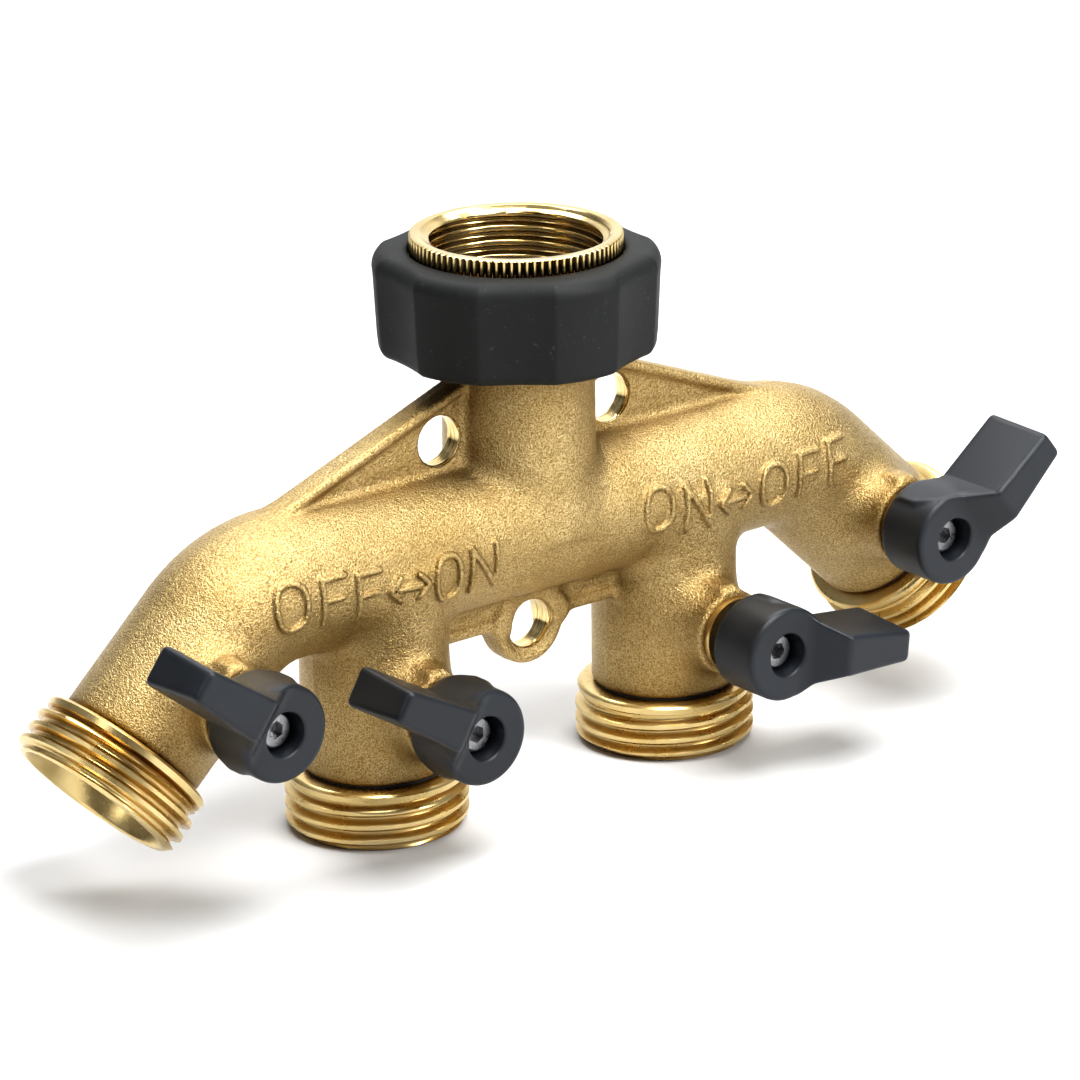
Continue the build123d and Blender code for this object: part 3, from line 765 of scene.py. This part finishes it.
def build_grip():
    low = TUBE_Z + 26.0
    high = MOUTH_RISE - 2.35
    draft = 0.75
    low_round = 1.6
    high_round = 2.3
    rows = []

    def outer(inset):
        return lambda angles: grip_outline(angles) - inset

    for step in range(9):
        turn = math.radians(90 * step / 8)
        inset = draft + low_round * (1 - math.sin(turn))
        rows.append((outer(inset), low + low_round * (1 - math.cos(turn))))
    for z in np.linspace(low + 3.0, high - 3.4, 10):
        share = (z - low) / (high - low)
        rows.append((outer(draft * (1 - share)), z))
    for step in range(11):
        turn = math.radians(90 * step / 10)
        inset = 0.05 + high_round * (1 - math.cos(turn))
        rows.append((outer(inset), high - high_round + high_round * math.sin(turn)))
    ledge = MOUTH_RISE - 3.2
    rows += [(16.6, high + 0.1), (15.95, high + 0.03), (15.7, high - 0.25), (15.7, ledge)]
    rows += [(NUT_RADIUS + 0.02, ledge), (NUT_RADIUS + 0.02, NUT_BOTTOM)]
    rows += [(12.3, NUT_BOTTOM), (12.3, low + 0.3), (12.7, low)]
    made = turned("grip_cover", rows, RUBBER_GRIP, 360)
    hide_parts("nut_grip")
    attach(made, "nut")


def finish_cad_pieces():
    looks = {
        "inlet_tailpiece": BRASS_INNER,
        "inlet_washer": RUBBER_SEAL,
        "filter_screen": STEEL,
        "joint_seal": RUBBER_SEAL,
        "seat_inner": PLASTIC_SEAT,
        "seat_outer": PLASTIC_SEAT,
        "valve_ball": CHROME,
        "valve_stem": BRASS_INNER,
        "stem_ring_in": RUBBER_SEAL,
        "stem_ring_out": RUBBER_SEAL,
        "gland_bush": BRASS_INNER,
        "lever_screw": STEEL,
        "manifold_body": BRASS_CAST,
        "outlet_fitting": BRASS_THREAD,
        "swivel_nut": BRASS_NUT,
        "nut_grip": RUBBER_GRIP,
        "lever": PLASTIC_LEVER,
    }
    for name, piece in nodes.items():
        stem = name.rsplit("_", 1)[0] if name[-1].isdigit() else name
        paint(piece, looks[stem])
        piece.data.shade_smooth()
        piece.data.set_sharp_from_angle(angle=math.radians(35))


# -------------------------------------------------------------------------------------------
# Floor, light and camera
# -------------------------------------------------------------------------------------------
def build_stage():
    floor_z = cad_box[0][2] - 0.0002
    size = 3.0
    bend = 0.6
    flat = 0.9
    # a sweep of paper: flat under the part, then curving up behind it
    profile = [(-2.2, 0.0), (flat, 0.0)]
    for step in range(1, 13):
        turn = math.radians(90 * step / 12)
        profile.append((flat + bend * math.sin(turn), bend * (1 - math.cos(turn))))
    profile.append((flat + bend, 2.4))
    away = Vector((0.624, 0.781, 0))
    side = Vector((0.781, -0.624, 0))
    verts = []
    for reach, rise in profile:
        for half in (-size, size):
            spot = away * reach + side * half
            verts.append((spot.x, spot.y, floor_z + rise))
    faces = [(i, i + 1, i + 3, i + 2) for i in range(0, len(verts) - 2, 2)]
    mesh = bpy.data.meshes.new("floor")
    mesh.from_pydata(verts, [], faces)
    mesh.shade_smooth()
    made = bpy.data.objects.new("floor", mesh)
    bpy.context.scene.collection.objects.link(made)
    s = Shader("floor_paper", roughness=0.9, color=(0.6, 0.6, 0.6))
    cloud = s.noise(6.0, 3.0, 0.5)
    s.set("Base Color", s.mix(cloud, (0.60, 0.60, 0.60), (0.62, 0.62, 0.62)))
    paint(made, s.material)


def lamp(name, place, target, width, height, watts):
    light = bpy.data.lights.new(name, "AREA")
    light.shape = "RECTANGLE"
    light.size = width
    light.size_y = height
    light.energy = watts
    made = bpy.data.objects.new(name, light)
    made.location = place
    facing = Vector(target) - Vector(place)
    made.rotation_euler = facing.to_track_quat("-Z", "Y").to_euler()
    bpy.context.scene.collection.objects.link(made)


def build_light():
    world = bpy.data.worlds.new("studio")
    bpy.context.scene.world = world
    world.use_nodes = True
    tree = world.node_tree
    background = tree.nodes["Background"]
    background.inputs["Strength"].default_value = 1.0
    up = tree.nodes.new("ShaderNodeSeparateXYZ")
    tree.links.new(tree.nodes.new("ShaderNodeTexCoord").outputs["Generated"], up.inputs[0])
    sky = tree.nodes.new("ShaderNodeValToRGB")
    sky.color_ramp.elements[0].position = 0.0
    sky.color_ramp.elements[0].color = (0.055, 0.05, 0.045, 1)
    sky.color_ramp.elements[1].position = 0.8
    sky.color_ramp.elements[1].color = (0.40, 0.41, 0.43, 1)
    tree.links.new(up.outputs["Z"], sky.inputs["Fac"])
    tree.links.new(sky.outputs["Color"], background.inputs["Color"])
    centre = (0, 0, -0.045)
    lamp("top_box", (-0.02, -0.32, 0.68), centre, 0.45, 0.35, 7.6)
    lamp("left_box", (-0.80, -0.10, 0.50), centre, 0.25, 0.5, 0.9)
    lamp("right_box", (0.26, -0.74, 0.38), centre, 0.22, 0.40, 5.2)
    lamp("back_wash", (0.5, 0.6, 1.3), (0.7, 0.9, 0.2), 1.6, 0.8, 30.0)


def build_camera():
    camera = bpy.data.cameras.new("camera")
    camera.lens = 195.37
    camera.sensor_width = 36.0
    camera.clip_end = 20
    made = bpy.data.objects.new("camera", camera)
    right = Vector((0.778526, -0.627489, -0.012423))
    up = Vector((0.215722, 0.248953, 0.944186))
    back = right.cross(up)
    place = Matrix((right, up, back)).transposed().to_4x4()
    place.translation = Vector((-0.503443, -0.634790, 0.236930))
    made.matrix_world = place
    bpy.context.scene.collection.objects.link(made)
    bpy.context.scene.camera = made


finish_cad_pieces()
build_manifold()
build_levers()
build_outlets()
build_nut()
build_grip()
build_stage()
build_light()
build_camera()

view = bpy.context.scene.view_settings
view.view_transform = "Standard"
view.look = "Medium High Contrast"
view.exposure = 0.0
